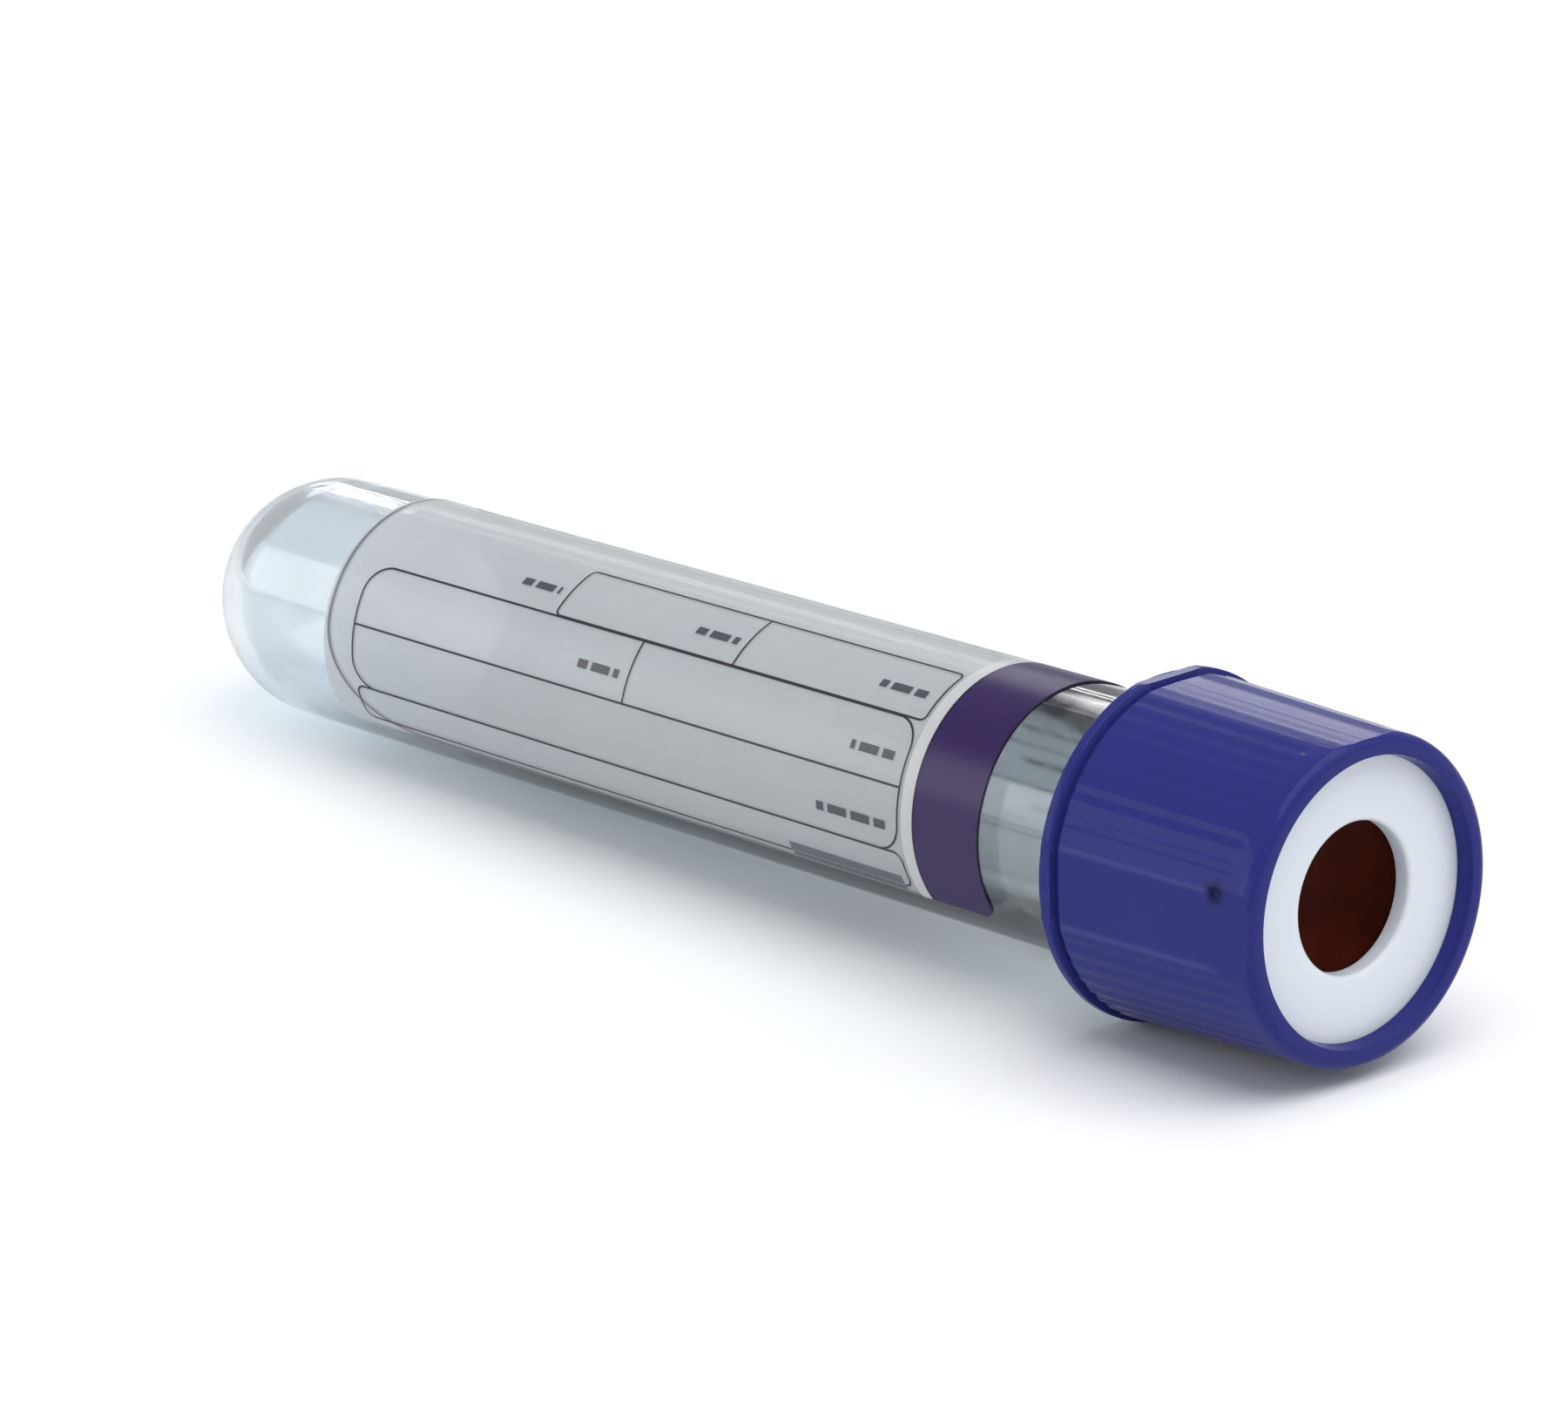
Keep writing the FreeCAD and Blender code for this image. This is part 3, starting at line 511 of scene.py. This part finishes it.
flat_start = SKIRT_FOOT + ((COLLAR_FLAT - SKIRT_EDGE) / (COLLAR - SKIRT_EDGE)
                           * (COLLAR_FOOT - SKIRT_FOOT))
bm = bmesh.new()
rows = [66.95, 68.0, 70.0, 72.0, 74.0, 76.0, 77.0] + [77.2 + 0.1 * row for row in range(9)]
first, last = draw(
    bm, (SKIRT_MOUTH, SKIRT_FOOT), (SKIRT_EDGE, SKIRT_FOOT), (COLLAR_FLAT, flat_start),
    (COLLAR, COLLAR_FOOT), (COLLAR, COLLAR_TOP), (FOOT_WALL - UNDERCUT, UNDERCUT_FOOT),
    (FOOT_WALL - UNDERCUT, UNDERCUT_HEAD), *[(wall_at(row), row) for row in rows],
    (CROWN_WALL, CROWN), (LIP_TOP, CROWN), (LIP, LIP_FOOT), (CAVITY, LIP_FOOT),
    (CAVITY, BEAD_TOP + BEAD_SLOPE), (NECK_CLEAR, BEAD_TOP), (NECK_CLEAR, BEAD_FOOT),
    (CAVITY, BEAD_FOOT - BEAD_SLOPE), (CAVITY, CAVITY_FOOT))
bm.edges.new((first, last))
turn_round(bm, SHELL_STEPS)
soften(bm, CROWN_WALL, CROWN, CROWN_ROUND, 9)
soften(bm, COLLAR, COLLAR_FOOT, COLLAR_ROUND, 3)
soften(bm, COLLAR, COLLAR_TOP, COLLAR_ROUND, 3)
soften(bm, LIP_TOP, CROWN, LIP_ROUND, 3)
# a layer that says where a pale highlight is painted along the grips' edges
painted_edge_highlight = bm.verts.layers.float.new("PaintedEdgeHighlight")


def press(vertex):
    """Press the flat grips, with faint sink marks, and the ribs into the round wall.

    It also marks where a pale highlight is painted, up to 1 on the edges of the grips.
    """
    turned = atan2(vertex.co.y, vertex.co.x)
    radius, height = vertex.co.xy.length, vertex.co.z
    aside = (turned + pi / 4) % (pi / 2) - pi / 4
    if height > COLLAR_TOP + 0.05:
        flat = wall_at(height) * cos(HALF_GRIP)
        flat += ((flat * tan(HALF_GRIP)) ** 2 - (flat * tan(aside)) ** 2) / (2 * GRIP_BOW)
        flat += SINK_DEPTH * (cos(2 * pi * flat * tan(aside) / SINK_PITCH) - 1)
        if height < UNDERCUT_HEAD + 0.01:
            flat -= UNDERCUT
    else:
        flat = COLLAR_FLAT
    flat /= cos(aside)
    near = max(GRIP_BLEND - abs(flat - radius), 0)
    pressed = min(radius, flat) - near ** 2 / (4 * GRIP_BLEND)
    from_group = turned % (pi / 2) - pi / 4
    on_wall = LEDGE - 1e-4 < height < RIBS_TOP and radius > CAVITY + 0.5
    if on_wall and abs(from_group) < HALF_GROUP:
        faded = min((RIBS_TOP - height) / RIBS_FADE, 1)
        pressed -= (RIB_DEPTH * faded ** 2 * (3 - 2 * faded)
                    * (1 + cos(2 * pi * from_group / RIB_PITCH)))
    vertex.co.xy *= pressed / radius
    # painted highlight: 1 on each edge of a grip, fading to 0 a little way off it
    if COLLAR_TOP + 0.3 < height < EDGE_HIGHLIGHT_TOP:
        vertex[painted_edge_highlight] = max(1 - abs(abs(aside) - HALF_GRIP) / HALF_EDGE_HIGHLIGHT, 0)


for vertex in bm.verts:
    if vertex.co.xy.length > CAVITY + 0.2:
        press(vertex)
shell = piece("violet_cap_shell", bm)

# the moulding gate leaves a small dimple on the edge of one flat grip
GATE, GATE_DEPTH, GATE_HEIGHT = 0.4, 0.12, CROWN - 2.3


def from_axis(reach):
    """A point at the gate's height and on its side, that far from the axis."""
    turned = -pi / 2 - HALF_GRIP
    return Vector((reach * cos(turned), reach * sin(turned), GATE_HEIGHT))


bm = bmesh.new()
bmesh.ops.create_icosphere(bm, subdivisions=4, radius=GATE)
gate_reach = wall_at(GATE_HEIGHT) + GATE - GATE_DEPTH
bmesh.ops.translate(bm, vec=from_axis(gate_reach), verts=bm.verts)
carve(shell, piece("gate_mark", bm), "DIFFERENCE")

# the shell's threads stand above the neck's by one crest, their overlap and a clearance
THREAD_SUNK, THREAD_CLEAR = 0.25, 0.12
above_neck_thread = CREST_WIDTH + (THREAD_CREST - NECK_CLEAR) * tan(FLANK) + THREAD_CLEAR
carve(shell, threads("skirt_threads", CAVITY + THREAD_SUNK, NECK_CLEAR,
                     THREAD_MIDDLE + above_neck_thread, CREST_WIDTH), "UNION")

# Coloured polyethylene has a smooth skin from a polished mould: sharp streaks of light over a deep
# colour, which flow lines cloud over about 5 mm, and a darker spot a millimetre across, centred in
# the gate's dimple. Pale lines about 0.3 mm wide are painted along the edges of the grips as
# highlights. The skin's fine texture is drawn at 0.4 mm.
violet = blank("Violet polyethylene, injection moulded")
where = node(violet, "ShaderNodeTexCoord").outputs["Object"]
flow = node(violet, "ShaderNodeTexNoise", {"Vector": where, "Scale": 1000 / 5, "Detail": 3.0})
dyed = node(violet, "ShaderNodeMix", {
    0: flow.outputs["Fac"], 6: colour("#272A6E"), 7: colour("#2D3076")}, data_type="RGBA")
# pale lines painted along the grips' edges, as highlights
edge_highlight_mask = node(violet, "ShaderNodeAttribute", attribute_name="PaintedEdgeHighlight")
with_edge_highlight = node(violet, "ShaderNodeMix", {
    0: edge_highlight_mask.outputs["Fac"], 6: dyed.outputs[2], 7: colour("#3E437F")}, data_type="RGBA")
# a darker spot a millimetre across, centred in the gate's dimple
from_gate = node(violet, "ShaderNodeVectorMath", {
    0: where, 1: laid @ from_axis(gate_reach - GATE)}, operation="DISTANCE")
at_gate = node(violet, "ShaderNodeMapRange", {
    "Value": from_gate.outputs["Value"], "From Min": 0.0003, "From Max": 0.0007, "To Min": 0.85,
    "To Max": 0.0})
dye = node(violet, "ShaderNodeMix", {
    0: at_gate.outputs["Result"], 6: with_edge_highlight.outputs[2], 7: colour("#0E0F36")}, data_type="RGBA")
texture = node(violet, "ShaderNodeTexNoise", {"Vector": where, "Scale": 1000 / 0.4, "Detail": 2.0})
etched = node(violet, "ShaderNodeBump", {
    "Height": texture.outputs["Fac"], "Strength": 0.02, "Distance": 0.00002})
shine = node(violet, "ShaderNodeMapRange", {
    "Value": flow.outputs["Fac"], "To Min": 0.1, "To Max": 0.16})
plastic = node(violet, "ShaderNodeBsdfPrincipled", {
    "Base Color": dye.outputs[2], "Roughness": shine.outputs["Result"], "IOR": 1.51,
    "Specular IOR Level": 0.1, "Normal": etched.outputs["Normal"]})
node(violet, "ShaderNodeOutputMaterial", {"Surface": plastic.outputs["BSDF"]})
finished(shell, "cap_body", "cap_plastic", violet)
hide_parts("cap_shell")

# === studio =======================================================================================
# A pale floor, a soft box at the front left, a large soft light overhead, and weak fills in front
# and beside the cap. Strip lights along the back draw the streaks on the top of the cap, and a
# small bright card there draws the patch on the clear neck.

bm = bmesh.new()
bmesh.ops.create_grid(bm, x_segments=1, y_segments=1, size=3)
floor = piece("floor", bm)
floor_paint = blank("Matt white board")
board = node(floor_paint, "ShaderNodeBsdfPrincipled", {
    "Base Color": colour("#F1F2F3"), "Roughness": 0.75})
node(floor_paint, "ShaderNodeOutputMaterial", {"Surface": board.outputs["BSDF"]})
floor.data.materials.append(floor_paint)
floor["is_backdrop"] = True

world = bpy.data.worlds.new("Pale studio")
bpy.context.scene.world = world
world.use_nodes = True
world.node_tree.nodes["Background"].inputs["Color"].default_value = colour("#F2F4F6")
world.node_tree.nodes["Background"].inputs["Strength"].default_value = 0.6


def soft_light(name, place, aim, width, height, brightness):
    """A rectangular soft light that faces a point, as bright as given all over."""
    lamp = bpy.data.lights.new(name, "AREA")
    lamp.shape = "RECTANGLE"
    lamp.size, lamp.size_y = width, height
    lamp.energy = brightness * pi * width * height
    held = bpy.data.objects.new(name, lamp)
    held.location = place
    held.rotation_euler = (Vector(aim) - Vector(place)).to_track_quat("-Z", "Y").to_euler()
    bpy.context.scene.collection.objects.link(held)


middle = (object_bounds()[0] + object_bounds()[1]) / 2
soft_light("front_left_box", (-0.45, -0.38, 0.17), middle, 0.46, 0.28, 1.5)
soft_light("overhead_box", (0.22, 0.02, 0.68), middle, 0.8, 0.7, 2.45)
soft_light("front_fill", (-0.05, -0.60, 0.10), middle, 0.7, 0.18, 1.15)
soft_light("right_fill", (0.50, 0.40, 0.35), middle, 0.4, 0.4, 0.8)

BACK_REACH, AXIS_HEIGHT = 0.44, 0.009


def back_light(name, along_x, rise, width, height, brightness):
    """A soft light behind the tube, so many degrees above the line of its axis."""
    back = BACK_REACH * cos(radians(rise))
    up = BACK_REACH * sin(radians(rise)) + AXIS_HEIGHT
    soft_light(name, (along_x, back, up), (along_x, 0, AXIS_HEIGHT), width, height, brightness)


back_light("back_strip_0", -0.43, 23.3, 0.5, 0.011, 7.0)
back_light("back_strip_1", -0.43, 29.0, 0.5, 0.011, 8.0)
back_light("back_strip_2", -0.43, 42.0, 0.5, 0.011, 5.6)
back_light("neck_card", -0.404, 46, 0.012, 0.17, 9.0)

# the camera looks down over the cap's end, with a long lens
lens = bpy.data.cameras.new("camera")
camera = bpy.data.objects.new("camera", lens)
camera.location = (0.3011, -0.2802, 0.1471)
camera.rotation_euler = (middle - camera.location).to_track_quat("-Z", "Y").to_euler()
lens.lens = 204
bpy.context.scene.collection.objects.link(camera)
bpy.context.scene.camera = camera
bpy.context.scene.view_settings.view_transform = "Standard"
